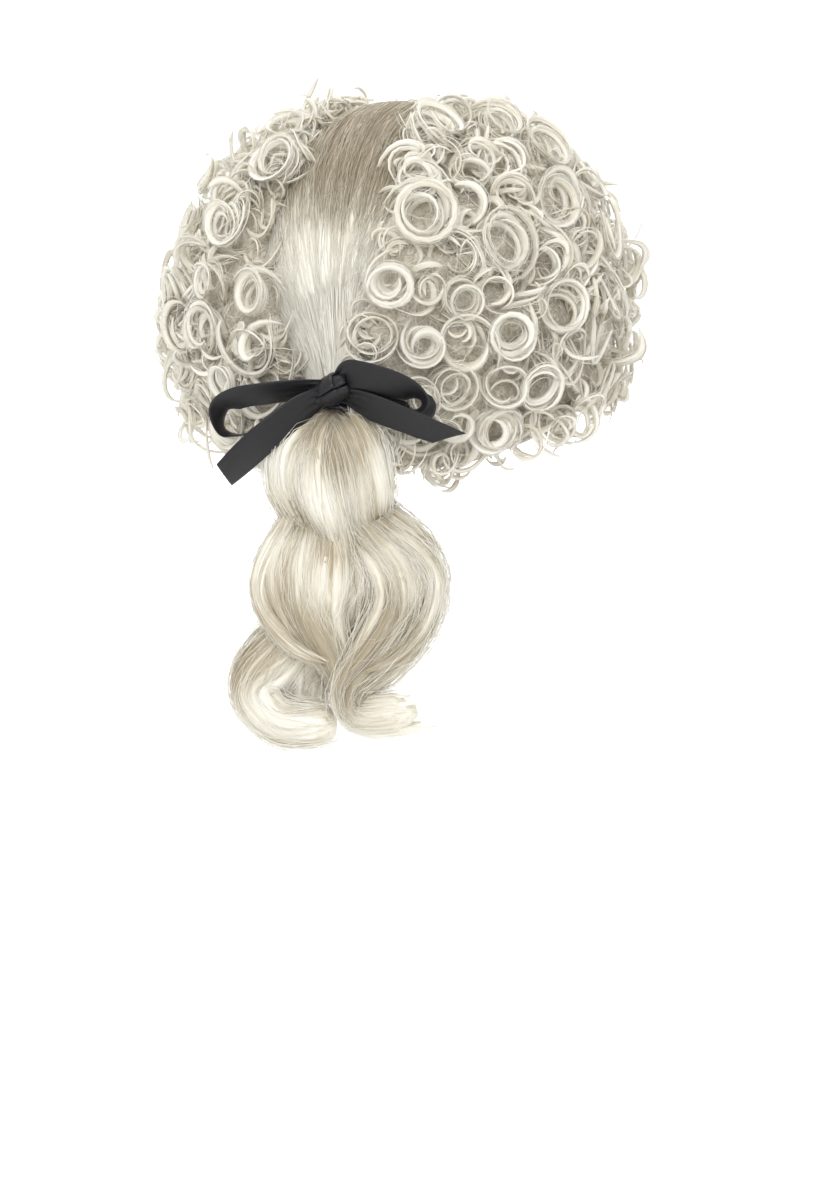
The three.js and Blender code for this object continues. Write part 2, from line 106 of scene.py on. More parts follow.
# How each kind of curl is rolled: how much its axis tilts, its least and most turns, its locks' width as
# a share of the curl band, its drift in millimetres, its layers of locks, the strands on each lock, and
# the steps along them
CURL_KINDS = {
    "ring": (0.16, 1.0, 1.4, 0.85, 5, 4, 6, 21),
    "wave": (0.5, 0.5, 1.05, 0.8, 12, 3, 4, 21),
    "small": (0.45, 0.4, 1.0, 0.7, 8, 2, 2, 13),
    "edge": (0.6, 0.45, 0.9, 0.6, 6, 2, 2, 13),
}

# The queue's locks from the tie down. Aside and behind are shares of the queue's half width, down is a
# share of its length, width of the half width and depth of the queue's depth.
QUEUE_LOCKS = {
    "scroll": [
        (0.0, 0.02, 0.57, 0.22, 0.4), (0.18, 0.06, 0.67, 0.28, 0.5), (0.34, 0.08, 0.75, 0.24, 0.5),
        (0.3, 0.12, 0.82, 0.22, 0.4), (0.14, 0.16, 0.86, 0.16, 0.4),
    ],
    "middle": [
        (0.03, -0.02, 0.0, 0.1, 0.5), (0.06, 0.3, 0.07, 0.34, 0.9), (0.02, 0.36, 0.18, 0.4, 0.9),
        (-0.05, 0.18, 0.3, 0.32, 0.9), (-0.1, 0.12, 0.43, 0.44, 0.9), (-0.1, 0.04, 0.56, 0.36, 0.8),
        (0.0, 0.1, 0.7, 0.24, 0.5), (0.04, 0.16, 0.82, 0.14, 0.4),
    ],
    "left": [
        (0.02, 0.06, 0.0, 0.1, 0.5), (0.27, 0.3, 0.06, 0.36, 0.9), (0.33, 0.36, 0.17, 0.36, 0.8),
        (0.2, 0.22, 0.29, 0.36, 0.8), (0.25, 0.38, 0.42, 0.55, 0.8), (0.21, 0.34, 0.55, 0.4, 0.7),
        (0.0, 0.32, 0.67, 0.22, 0.45), (-0.06, 0.3, 0.75, 0.1, 0.3),
    ],
    "right": [
        (-0.01, 0.06, 0.0, 0.1, 0.5), (-0.2, 0.3, 0.05, 0.3, 0.9), (-0.3, 0.32, 0.17, 0.32, 0.8),
        (-0.32, 0.16, 0.28, 0.29, 0.8), (-0.72, 0.26, 0.39, 0.4, 0.8), (-0.72, 0.22, 0.52, 0.38, 0.7),
        (-0.46, 0.26, 0.65, 0.32, 0.6), (-0.22, 0.32, 0.74, 0.24, 0.6), (-0.29, 0.38, 0.82, 0.22, 0.6),
        (-0.66, 0.42, 0.81, 0.23, 0.65), (-1.04, 0.4, 0.79, 0.23, 0.5),
    ],
    "left_end": [
        (0.2, 0.08, 0.53, 0.22, 0.4), (0.46, 0.14, 0.64, 0.32, 0.6), (0.72, 0.18, 0.73, 0.34, 0.7),
        (0.78, 0.24, 0.8, 0.3, 0.75), (0.53, 0.3, 0.86, 0.28, 0.75), (0.16, 0.34, 0.86, 0.25, 0.65),
        (-0.1, 0.36, 0.84, 0.18, 0.4),
    ],
    "front": [
        (0.32, 0.44, 0.23, 0.08, 0.3), (0.64, 0.52, 0.41, 0.1, 0.3), (0.64, 0.5, 0.53, 0.1, 0.3),
        (0.34, 0.5, 0.63, 0.1, 0.3), (-0.02, 0.46, 0.68, 0.05, 0.2),
    ],
    "side": [
        (-0.53, 0.34, 0.28, 0.09, 0.3), (-0.92, 0.44, 0.34, 0.1, 0.3), (-1.08, 0.42, 0.42, 0.1, 0.3),
        (-0.98, 0.42, 0.54, 0.1, 0.3), (-0.7, 0.42, 0.64, 0.09, 0.3), (-0.33, 0.42, 0.7, 0.06, 0.25),
    ],
}
# How much paler than the middle tone the queue is at shares of its length: painted highlights where its waves
# crest, painted shade where they dip, and painted shadow under the knot
QUEUE_PAINTED_LIGHT = [(-0.1, -0.6), (0.03, -0.56), (0.08, -0.16), (0.16, 0.28), (0.23, 0.06), (0.3, -0.5),
                  (0.38, 0.12), (0.46, -0.04), (0.58, -0.48), (0.7, -0.5), (0.82, 0.2), (1.0, 0.0)]
# The bow's ribbons from the knot. Along, down and out are shares of the bow's half length, width of the
# ribbon's, and lean turns the ribbon from upright towards the back, in degrees.
BOW_RIBBONS = {
    "ribbon_loop_left": [
        (0.02, -0.03, 0.03, 0.5, 30), (0.23, 0.0, 0.07, 0.85, 34), (0.51, 0.04, 0.13, 1, 36),
        (0.77, 0.1, 0.12, 1, 40), (0.93, 0.22, 0.04, 1, 52), (0.95, 0.4, -0.05, 1, 68),
        (0.82, 0.46, -0.12, 1, 80), (0.6, 0.36, -0.15, 0.95, 78), (0.31, 0.16, -0.12, 0.7, 70),
        (0.06, 0.04, -0.05, 0.4, 60),
    ],
    "ribbon_loop_right": [
        (-0.05, -0.08, 0.04, 0.5, 12), (-0.19, -0.15, 0.1, 1, 8), (-0.42, -0.13, 0.14, 1, 10),
        (-0.64, -0.07, 0.13, 1, 24), (-0.75, 0.04, 0.06, 1, 46), (-0.7, 0.15, -0.02, 1, 40),
        (-0.5, 0.15, -0.06, 1, 24), (-0.26, 0.06, -0.06, 0.75, 30), (-0.05, -0.01, -0.03, 0.4, 45),
    ],
    "ribbon_tail_left": [
        (0.01, 0.02, 0.03, 0.5, 10), (0.2, 0.13, 0.2, 0.95, 8), (0.48, 0.37, 0.3, 1, 14),
        (0.86, 0.72, 0.2, 1, 36),
    ],
    "ribbon_tail_right": [
        (-0.05, 0.03, 0.0, 0.5, 20), (-0.33, 0.09, 0.12, 0.95, 14), (-0.65, 0.18, 0.15, 1, 20),
        (-1.01, 0.31, 0.12, 1, 30),
    ],
}
# How far each end's cut slants, as a share of the ribbon's half width
TAIL_SLANTS = {"ribbon_tail_left": -0.5, "ribbon_tail_right": 0.95}

class WigSizes(bpy.types.PropertyGroup):
    """The sizes that change how the hair and the ribbon are made."""

    strand: bpy.props.FloatProperty(
        name="Strand", description="Thickness of a visible strand", default=0.42 * MM, unit="LENGTH"
    )
    strip: bpy.props.FloatProperty(
        name="Smooth strip", description="Half width of the bare strip at the crown",
        default=29 * MM, unit="LENGTH",
    )
    curl_band: bpy.props.FloatProperty(
        name="Curl band", description="Width of the locks that a ring curl is rolled from",
        default=5.5 * MM, unit="LENGTH",
    )
    ribbon: bpy.props.FloatProperty(
        name="Ribbon", description="Width of the satin ribbon", default=15 * MM, unit="LENGTH"
    )
    seed: bpy.props.IntProperty(name="Seed", description="Changes how the hair falls", default=7)


class WigColours(bpy.types.PropertyGroup):
    """The colours of the hair, the net and the ribbon."""

    # Painted shade: the hair's ramp runs to this colour where hair lies deep in and under the curls, in the
    # queue's cores and dips, under the knot and over the top of the crown.
    shade: bpy.props.FloatVectorProperty(
        name="Shaded hair", description="Hair deep between the curls", subtype="COLOR", size=3,
        default=(0.46, 0.39, 0.27),
    )
    middle: bpy.props.FloatVectorProperty(
        name="Hair", description="Hair in plain light", subtype="COLOR", size=3, default=(0.76, 0.715, 0.60)
    )
    # The ramp runs to this colour for the painted highlights on the queue's wave crests and lower down the
    # crown, as well as for the palest strands.
    light: bpy.props.FloatVectorProperty(
        name="Powdered hair", description="The palest strands", subtype="COLOR", size=3,
        default=(0.93, 0.91, 0.83),
    )
    ribbon: bpy.props.FloatVectorProperty(
        name="Ribbon", description="The satin ribbon", subtype="COLOR", size=3, default=(0.011, 0.0105, 0.012)
    )
    net: bpy.props.FloatVectorProperty(
        name="Net", description="The net of the cap", subtype="COLOR", size=3, default=(0.55, 0.48, 0.36)
    )


def unit(vectors):
    return vectors / np.maximum(np.linalg.norm(vectors, axis=-1, keepdims=True), 1e-12)


def ease(shares):
    shares = np.clip(shares, 0, 1)
    return shares * shares * (3 - 2 * shares)


def head_axes(direction):
    """The head's half sizes in a direction, with more reach below its widest level."""
    axes = np.empty(direction.shape)
    axes[..., 0] = HALF_BREADTH
    axes[..., 1] = HALF_LENGTH
    axes[..., 2] = np.where(direction[..., 2] > 0, CROWN_HEIGHT, NAPE_REACH)
    return axes


def head_point(direction, grow):
    """A point on the head in a direction, with the surface grown outwards."""
    return HEAD_CENTRE + direction * (head_axes(direction) + np.asarray(grow)[..., None])


def head_normal(direction):
    return unit(direction / head_axes(direction))


def mass_grow(direction, lift=0.0):
    """How far the curls' mass stands off the head in a direction."""
    mass = np.where(direction[..., 2:] > 0, MASS, MASS[[0, 1, 1]])
    return (direction**2 * mass).sum(-1) + lift


def painted_depth_shade(points, low, high):
    """How pale hair is by how far out it lies in the curls, as painted shade: low at the roots, high at the
    outside.
    """
    away = points - HEAD_CENTRE
    outer = np.where(away[..., 2:] > 0, MASS, MASS[[0, 1, 1]]) + np.stack(
        [0 * away[..., 0] + HALF_BREADTH, 0 * away[..., 0] + HALF_LENGTH,
         np.where(away[..., 2] > 0, CROWN_HEIGHT, NAPE_REACH)], -1)
    level = np.linalg.norm(away / outer, axis=-1)
    return low + (high - low) * ease((level - 0.93) / 0.17)


def beside_strip(lean, sweep):
    """A direction by degrees from the middle line towards the left ear, and from crown to nape."""
    lean, sweep = np.radians(lean), np.radians(sweep)
    return np.stack([np.sin(lean), np.cos(lean) * np.sin(sweep), np.cos(lean) * np.cos(sweep)], -1)


def round_pole(pole, over, turn, away):
    """A direction at a turn round a pole and an angle away from it, both in radians."""
    aside = np.cross(pole, over)
    turn, away = np.broadcast_arrays(turn, away)
    outwards = over * np.cos(turn)[..., None] + aside * np.sin(turn)[..., None]
    return pole * np.cos(away)[..., None] + outwards * np.sin(away)[..., None]


def hem_height(hem, points):
    """How high a hem's edge runs at the azimuth of each point."""
    azimuth = np.degrees(np.abs(np.arctan2(points[..., 0], -points[..., 1])))
    return -CROWN_HEIGHT * np.interp(azimuth, *zip(*hem))


def strip_edge(points, side, sizes):
    """How far from the middle line the smooth strip ends on one side, level with each point."""
    behind, left, right = np.array(STRIP).T
    sweep = np.degrees(np.arctan2(points[..., 1], points[..., 2] - HEAD_CENTRE[2]))
    return sizes.strip * np.interp(sweep, behind, left if side > 0 else right)


def along_rows(rows, shares):
    """Values from a table's rows at shares of its length, on a smooth line through them."""
    rows = np.array(rows, float)
    padded = np.vstack([2 * rows[0] - rows[1], rows, 2 * rows[-1] - rows[-2]])
    at = np.clip(shares, 0, 1) * (len(rows) - 1)
    first = np.clip(at.astype(int), 0, len(rows) - 2)
    t = (at - first)[..., None]
    a, b, c, d = (padded[first + k] for k in range(4))
    return 0.5 * (2 * b + (c - a) * t + (2 * a - 5 * b + 4 * c - d) * t**2 + (3 * b - a - 3 * c + d) * t**3)


def wander(random, count, shares, waves):
    """A smooth drift for each of several strands, about -1 to 1 along its length."""
    total = np.zeros((count, len(shares)))
    for octave in (1, 2.1, 4.3):
        phase = random.uniform(0, 2 * np.pi, (count, 1))
        rate = waves * octave * random.uniform(0.7, 1.3, (count, 1))
        total += np.sin(2 * np.pi * rate * shares + phase) / octave
    return total / 1.5


def frames_along(paths, outward):
    """The directions across each path and out from it."""
    ahead = unit(np.gradient(paths, axis=-2))
    outward = outward - (outward * ahead).sum(-1, keepdims=True) * ahead
    outward = unit(outward)
    return np.cross(outward, ahead), outward


def closed_tubes(name, rings, tone, combed, finish, slot):
    """One mesh of closed tubes. Rings hold tube, step, side and place; tone is how pale each point is, which on
    the hair holds painted shade and painted highlights as well as each strand's own paleness; combed is where it
    would be if its hair were pulled straight, in millimetres."""
    tubes, steps, sides, _ = rings.shape
    index = np.arange(tubes * steps * sides).reshape(tubes, steps, sides)
    a, d = index[:, :-1], index[:, 1:]
    b, c = np.roll(a, -1, axis=2), np.roll(d, -1, axis=2)
    quads = np.stack([a, b, c, d], -1).reshape(-1, 4)
    caps = np.concatenate([index[:, 0, ::-1], index[:, -1]])
    points = rings.reshape(-1, 3)
    p, q, r, s = (points[quads[:, k]] for k in range(4))
    volume = (p * np.cross(q, r)).sum() + (p * np.cross(r, s)).sum()
    if volume < 0:
        quads, caps = quads[:, ::-1], caps[:, ::-1]
    mesh = bpy.data.meshes.new(name)
    mesh.vertices.add(len(points))
    mesh.vertices.foreach_set("co", points.astype(np.float32).ravel())
    corners = np.concatenate([quads.ravel(), caps.ravel()])
    starts = np.concatenate([
        np.arange(len(quads)) * 4,
        quads.size + np.arange(len(caps)) * sides,
    ])
    mesh.loops.add(len(corners))
    mesh.loops.foreach_set("vertex_index", corners.astype(np.int32))
    mesh.polygons.add(len(starts))
    mesh.polygons.foreach_set("loop_start", starts.astype(np.int32))
    mesh.update(calc_edges=True)
    mesh.shade_smooth()
    paleness = mesh.attributes.new("tone", "FLOAT", "POINT")
    paleness.data.foreach_set("value", np.broadcast_to(tone, rings.shape[:3]).astype(np.float32).ravel())
    straight = mesh.attributes.new("combed", "FLOAT_VECTOR", "POINT")
    straight.data.foreach_set("vector", np.broadcast_to(combed, rings.shape).astype(np.float32).ravel())
    mesh.materials.append(finish)
    piece = bpy.data.objects.new(name, mesh)
    bpy.context.scene.collection.objects.link(piece)
    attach(piece, "root")
    return piece


def strand_rings(paths, outward, thickness):
    """Three-sided strands that thin out towards both ends."""
    across, outward = frames_along(paths, outward)
    shares = np.linspace(0, 1, paths.shape[1])
    taper = np.minimum(1, np.minimum(shares * 8, (1 - shares) * 5) + 0.18)
    radius = 0.5 * np.asarray(thickness).reshape(-1, 1, 1) * taper[None, :, None]
    turns = np.radians([90, 210, 330])
    return np.stack(
        [paths + radius * (across * math.cos(t) + outward * math.sin(t)) for t in turns], axis=2
    )


def lock_rings(random, paths, outward, half_width, half_depth, sides, ridge=0.16, ends=(7, 4)):
    """Closed locks with ridges along them, and where their points lie when pulled straight."""
    across, outward = frames_along(paths, outward)
    count, steps = paths.shape[:2]
    turn = np.linspace(0, 2 * np.pi, sides, endpoint=False)
    shares = np.linspace(0, 1, steps)
    shape = 1 + ridge * random.normal(0, 0.7, (count, 1, sides)).clip(-1.2, 1.2)
    shape = shape + 0.4 * ridge * wander(random, count, shares, 1.5)[:, :, None]
    taper = np.minimum(1, np.minimum(shares * ends[0], (1 - shares) * ends[1]) + 0.1) ** 0.7
    wide = (half_width * taper)[..., None] * shape * np.cos(turn)
    deep = (half_depth * taper)[..., None] * shape * np.sin(turn)
    rings = (
        paths[:, :, None]
        + across[:, :, None] * wide[..., None]
        + outward[:, :, None] * deep[..., None]
    )
    length = np.linalg.norm(np.diff(paths, axis=1), axis=-1).cumsum(1)
    length = np.concatenate([np.zeros((count, 1)), length], 1)[:, :, None] * np.ones(sides)
    straight = np.stack([wide, deep, length * 0.06], -1) / MM
    straight = straight + random.uniform(0, 400, (count, 1, 1, 3))
    return rings, straight


def strand_marks(random, rings, tone, spread):
    """A tone and a straight place for each strand."""
    count, steps = rings.shape[:2]
    tones = (tone + random.normal(0, spread, count))[:, None, None]
    straight = np.zeros(rings.shape)
    straight += random.uniform(0, 400, (count, 1, 1, 3))
    straight[..., 2] += np.linspace(0, 4, steps)[None, :, None]
    return np.broadcast_to(tones, rings.shape[:3]), straight


def joined_rings(*parts):
    return [np.concatenate(arrays) for arrays in zip(*parts)]


def node_tree(name):
    material = bpy.data.materials.new(name)
    material.use_nodes = True
    tree = material.node_tree
    shader = tree.nodes["Principled BSDF"]
    return material, tree, shader


def add_node(tree, kind, **values):
    """A node with its settings, and with inputs linked from sockets or set from numbers."""
    node = tree.nodes.new(kind)
    for key, value in values.items():
        if key[0].isupper():
            socket = node.inputs[key.replace("_", " ")]
            if isinstance(value, bpy.types.NodeSocket):
                tree.links.new(value, socket)
            else:
                socket.default_value = value
        else:
            setattr(node, key, value)
    return node


def powdered_hair(colours):
    """Satin hair: its tone from the tone attribute, which holds each strand's own paleness with painted shade
    and painted highlights, fine streaks along it, and a soft gloss.
    """
    material, tree, shader = node_tree("powdered_hair")
    tone = add_node(tree, "ShaderNodeAttribute", attribute_name="tone")
    combed = add_node(tree, "ShaderNodeAttribute", attribute_name="combed")
    streaks = add_node(
        tree, "ShaderNodeTexNoise", Vector=combed.outputs["Vector"], Scale=0.7, Detail=3.0, Roughness=0.65
    )
    lengths = add_node(
        tree, "ShaderNodeTexNoise", Vector=combed.outputs["Vector"], Scale=0.25, Detail=2.0
    )
    streaked = add_node(
        tree, "ShaderNodeMapRange", Value=streaks.outputs["Fac"], From_Min=0.3, From_Max=0.7,
        To_Min=-0.28, To_Max=0.28,
    )
    patched = add_node(
        tree, "ShaderNodeMapRange", Value=lengths.outputs["Fac"], From_Min=0.3, From_Max=0.7,
        To_Min=-0.2, To_Max=0.2,
    )
    varied = tone.outputs["Fac"]
    for part in (streaked, patched):
        total = add_node(tree, "ShaderNodeMath", operation="ADD")
        tree.links.new(varied, total.inputs[0])
        tree.links.new(part.outputs["Result"], total.inputs[1])
        varied = total.outputs[0]
    ramp = add_node(tree, "ShaderNodeValToRGB", Fac=varied)
    ramp.color_ramp.elements[0].color = (*colours.shade, 1)
    ramp.color_ramp.elements[1].color = (*colours.light, 1)
    middle = ramp.color_ramp.elements.new(0.45)
    middle.color = (*colours.middle, 1)
    gloss = add_node(
        tree, "ShaderNodeMapRange", Value=lengths.outputs["Fac"], From_Min=0.3, From_Max=0.7,
        To_Min=0.26, To_Max=0.42,
    )
    bump = add_node(
        tree, "ShaderNodeBump", Strength=0.55, Distance=0.35 * MM, Height=streaks.outputs["Fac"]
    )
    tree.links.new(ramp.outputs["Color"], shader.inputs["Base Color"])
    tree.links.new(gloss.outputs["Result"], shader.inputs["Roughness"])
    tree.links.new(bump.outputs["Normal"], shader.inputs["Normal"])
    shader.inputs["Specular IOR Level"].default_value = 0.5
    shader.inputs["Sheen Weight"].default_value = 0.2
    shader.inputs["Sheen Roughness"].default_value = 0.5
    shader.inputs["Sheen Tint"].default_value = (1, 0.98, 0.93, 1)
    return material


def matted_hair(colours):
    """The tangled hair under the curls: strands that swirl between light and shade."""
    material, tree, shader = node_tree("matted_hair")
    tone = add_node(tree, "ShaderNodeAttribute", attribute_name="tone")
    place = add_node(tree, "ShaderNodeAttribute", attribute_name="combed")
    swirls = add_node(
        tree, "ShaderNodeTexNoise", Vector=place.outputs["Vector"], Scale=0.16, Detail=4.0,
        Roughness=0.65, Distortion=4.0,
    )
    paler = add_node(
        tree, "ShaderNodeMapRange", Value=swirls.outputs["Fac"], From_Min=0.35, From_Max=0.65,
        To_Min=-0.4, To_Max=0.35,
    )
    total = add_node(tree, "ShaderNodeMath", operation="ADD")
    tree.links.new(tone.outputs["Fac"], total.inputs[0])
    tree.links.new(paler.outputs["Result"], total.inputs[1])
    ramp = add_node(tree, "ShaderNodeValToRGB", Fac=total.outputs[0])
    ramp.color_ramp.elements[0].color = (*colours.shade, 1)
    ramp.color_ramp.elements[1].color = (*colours.light, 1)
    bump = add_node(tree, "ShaderNodeBump", Strength=0.9, Distance=2 * MM, Height=swirls.outputs["Fac"])
    tree.links.new(ramp.outputs["Color"], shader.inputs["Base Color"])
    tree.links.new(bump.outputs["Normal"], shader.inputs["Normal"])
    shader.inputs["Roughness"].default_value = 0.5
    return material


def satin_ribbon(colours):
    """Black satin: fine cross ribs, a woven edge, and a blue-grey sheen."""
    material, tree, shader = node_tree("satin_ribbon")
    combed = add_node(tree, "ShaderNodeAttribute", attribute_name="combed")
    weave = add_node(
        tree, "ShaderNodeTexWave", Vector=combed.outputs["Vector"], Scale=1.6, Distortion=0.3,
        bands_direction="Z",
    )
    cloud = add_node(tree, "ShaderNodeTexNoise", Vector=combed.outputs["Vector"], Scale=0.3, Detail=3.0)
    edge = add_node(tree, "ShaderNodeAttribute", attribute_name="tone")
    ramp = add_node(tree, "ShaderNodeValToRGB", Fac=edge.outputs["Fac"])
    ramp.color_ramp.elements[0].color = (*colours.ribbon, 1)
    ramp.color_ramp.elements[1].color = (0.022, 0.022, 0.028, 1)
    gloss = add_node(
        tree, "ShaderNodeMapRange", Value=cloud.outputs["Fac"], From_Min=0.3, From_Max=0.7,
        To_Min=0.32, To_Max=0.45,
    )
    bump = add_node(tree, "ShaderNodeBump", Strength=0.25, Distance=0.1 * MM, Height=weave.outputs["Fac"])
    tree.links.new(ramp.outputs["Color"], shader.inputs["Base Color"])
    tree.links.new(gloss.outputs["Result"], shader.inputs["Roughness"])
    tree.links.new(bump.outputs["Normal"], shader.inputs["Normal"])
    shader.inputs["Sheen Weight"].default_value = 0.08
    shader.inputs["Sheen Roughness"].default_value = 0.35
    shader.inputs["Sheen Tint"].default_value = (0.55, 0.6, 0.75, 1)
    shader.inputs["Specular IOR Level"].default_value = 0.36
    return material


def stretch_net(colours):
    """Stretch net: small open cells between its threads."""
    material, tree, shader = node_tree("stretch_net")
    combed = add_node(tree, "ShaderNodeAttribute", attribute_name="combed")
    cells = add_node(
        tree, "ShaderNodeTexVoronoi", Vector=combed.outputs["Vector"], Scale=0.3,
        feature="DISTANCE_TO_EDGE",
    )
    ramp = add_node(tree, "ShaderNodeValToRGB", Fac=cells.outputs["Distance"])
    ramp.color_ramp.elements[0].position = 0.08
    ramp.color_ramp.elements[0].color = (*colours.net, 1)
    # Painted shade: the open cells between the threads are filled with dark brown, which stands in for the shade
    # seen through the net.
    ramp.color_ramp.elements[1].position = 0.2
    ramp.color_ramp.elements[1].color = (0.2, 0.17, 0.12, 1)
    bump = add_node(
        tree, "ShaderNodeBump", Strength=0.6, Distance=0.4 * MM, Height=cells.outputs["Distance"],
        invert=True,
    )
    tree.links.new(ramp.outputs["Color"], shader.inputs["Base Color"])
    tree.links.new(bump.outputs["Normal"], shader.inputs["Normal"])
    shader.inputs["Roughness"].default_value = 0.85
    return material


def finish_named(name):
    """A finish, made the first time that a piece asks for it."""
    made = bpy.data.materials.get(name)
    makers = {"powdered_hair": powdered_hair, "matted_hair": matted_hair, "satin_ribbon": satin_ribbon,
              "stretch_net": stretch_net}
    return made or makers[name](bpy.context.scene.wig_colours)


def patch(pole, over, inside, turns, steps, least=2):
    """Directions from a pole out to the edge of a region of the head, and each one's share of the way."""
    away = np.radians(np.linspace(least, 176, 400))
    turn = np.linspace(0, 2 * np.pi, turns, endpoint=False)
    fan = round_pole(pole, over, turn[None, :], away[:, None])
    held = inside(fan)
    reach = away[np.maximum(np.argmin(held, axis=0) - 1, 1)]
    for _ in range(3):
        reach = (np.roll(reach, 1) + 2 * reach + np.roll(reach, -1)) / 4
    shares = np.linspace(0.015, 1, steps)
    return round_pole(pole, over, turn[None, :], reach[None, :] * shares[:, None]), shares, turn


def shell(name, directions, shares, outside, inside, tone, finish, slot, combed_size=None):
    """A closed layer over a patch of the head, from its outside to its inside surface. Its finish lies
    along the hair from the pole if that has a size round it, or else by the place on the head."""
    taper = np.sqrt(1 - shares**10)[:, None]
    outer = head_point(directions, inside + (outside - inside) * taper + 0.0002 * taper)
    inner = head_point(directions[::-1], np.full(outside.shape, inside))
    rings = np.concatenate([outer, inner])[None]
    straight = rings / MM
    if combed_size:
        turn = np.linspace(0, 2 * np.pi, directions.shape[1], endpoint=False)
        straight = np.stack([
            np.broadcast_to(np.cos(turn) * combed_size, outside.shape),
            np.broadcast_to(np.sin(turn) * combed_size, outside.shape),
            np.broadcast_to(shares[:, None] * 2.5, outside.shape),
        ], -1)
        straight = np.concatenate([straight, straight[::-1] + 50])[None]
    tones = np.concatenate([np.broadcast_to(tone, outside.shape), np.full(outside.shape, 0.1)])[None]
    return closed_tubes(name, rings, tones, straight, finish, slot)


def inside_hem(hem, grow, lower=0.0):
    """A test for the part of the head above a hem."""
    def held(directions):
        points = head_point(directions, grow)
        return points[..., 2] > hem_height(hem, points) - lower
    return held


def combed_turn(random, turn, waves, count=14):
    """Ridges round a pole, as waves of many widths that only change with the turn."""
    total = np.zeros(turn.shape)
    for _ in range(count):
        rate = random.integers(*waves)
        total += np.cos(rate * turn + random.uniform(0, 2 * np.pi))
    return total / math.sqrt(count)


def make_cap(sizes):
    """The net cap inside the wig, its wefts and its edge band."""
    turns, steps = 90, 26
    directions, shares, turn = patch(UPWARDS, -BACKWARDS, inside_hem(CAP_HEM, CAP_OUTSIDE), turns, steps)
    outside = np.full((steps, turns), CAP_OUTSIDE)
    finish = finish_named("stretch_net")
    net = shell("cap_net", directions, shares, outside, 0.6 * MM, 0.5, finish, "cap_net")
    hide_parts("cap")
    weft_rows = np.linspace(3, steps - 2, 8).astype(int)
    rings = []
    for row in weft_rows:
        rings.append(head_point(np.concatenate([directions[row], directions[row][:1]]), 0.0 * turn[0]))
    rings.append(head_point(np.concatenate([directions[-1], directions[-1][:1]]), 0.8 * MM))
    paths = np.array(rings)
    outward = unit(paths - HEAD_CENTRE)
    wide = np.full(paths.shape[:2], 1.6 * MM)
    wide[-1] = 4 * MM
    wefts, straight = lock_rings(
        np.random.default_rng(sizes.seed), paths, outward, wide, np.full(paths.shape[:2], 0.8 * MM), 6, 0.05
    )
    closed_tubes("cap_wefts", wefts, 0.6, straight, finish, "cap_net")


def knot_patch(sizes, turns, steps):
    pole = beside_strip(0, KNOT_SWEEP)
    over = np.cross(ASIDE, pole)
    return patch(pole, over, inside_hem(CAP_HEM, COMBED_OUTSIDE, 3 * MM), turns, steps, 6)


def strip_strands(sizes, random, count, steps):
    """Paths of the hair that is combed over the crown and gathered into the tie."""
    pole = beside_strip(0, KNOT_SWEEP)
    over = np.cross(ASIDE, pole)
    turn = random.uniform(-1, 1, count) * math.radians(95)
    probe = np.radians(np.linspace(10, 158, 150))
    fan = round_pole(pole, over, turn[:, None], probe[None, :])
    points = head_point(fan, COMBED_OUTSIDE)
    bare = points[..., 2] > hem_height(CAP_HEM, points) - 2 * MM
    for side in (1, -1):
        bare &= side * points[..., 0] < strip_edge(points, side, sizes) + 8 * MM
    bare[:, -1] = False
    reach = probe[np.maximum(np.argmin(bare | (probe < 0.3)[None, :], axis=1) - 1, 1)]
    start = reach * np.where(random.random(count) < 0.6, 1, random.uniform(0.35, 1, count))
    shares = np.linspace(0, 1, steps)
    near = math.radians(9)
    away = start[:, None] + (near - start[:, None]) * shares[None, :] ** 0.9
    drift = math.radians(3) * wander(random, count, shares, 0.5) / np.maximum(np.sin(away), 0.2)
    drift = drift + math.radians(8) * np.sin(np.pi * shares)
    lift = random.gamma(1.6, 0.35 * MM, count)[:, None] * np.sin(np.pi * shares) ** 0.5
    path = head_point(
        round_pole(pole, over, turn[:, None] + drift, away),
        COMBED_OUTSIDE + 0.2 * MM + lift + 0.25 * MM * wander(random, count, shares, 1),
    )
    around = turn * 1.5
    mouth = TIE_CENTRE - NECK_AHEAD * 2 * MM + NECK_RADIUS * 0.85 * (
        NECK_UP * np.cos(around)[:, None] + np.cross(NECK_AHEAD, NECK_UP) * np.sin(around)[:, None]
    )
    gather = ease((shares - 0.72) / 0.28)[None, :, None]
    return path * (1 - gather) + mouth[:, None] * gather


def crown_painted_shading(points):
    """How pale the combed hair is: painted shade, greyer, over the top of the crown, which faces away from the
    light, and a painted highlight, pale, down the back, which faces it.
    """
    return -0.14 + 1.02 * ease((-points[..., 2] - 12 * MM) / (38 * MM))


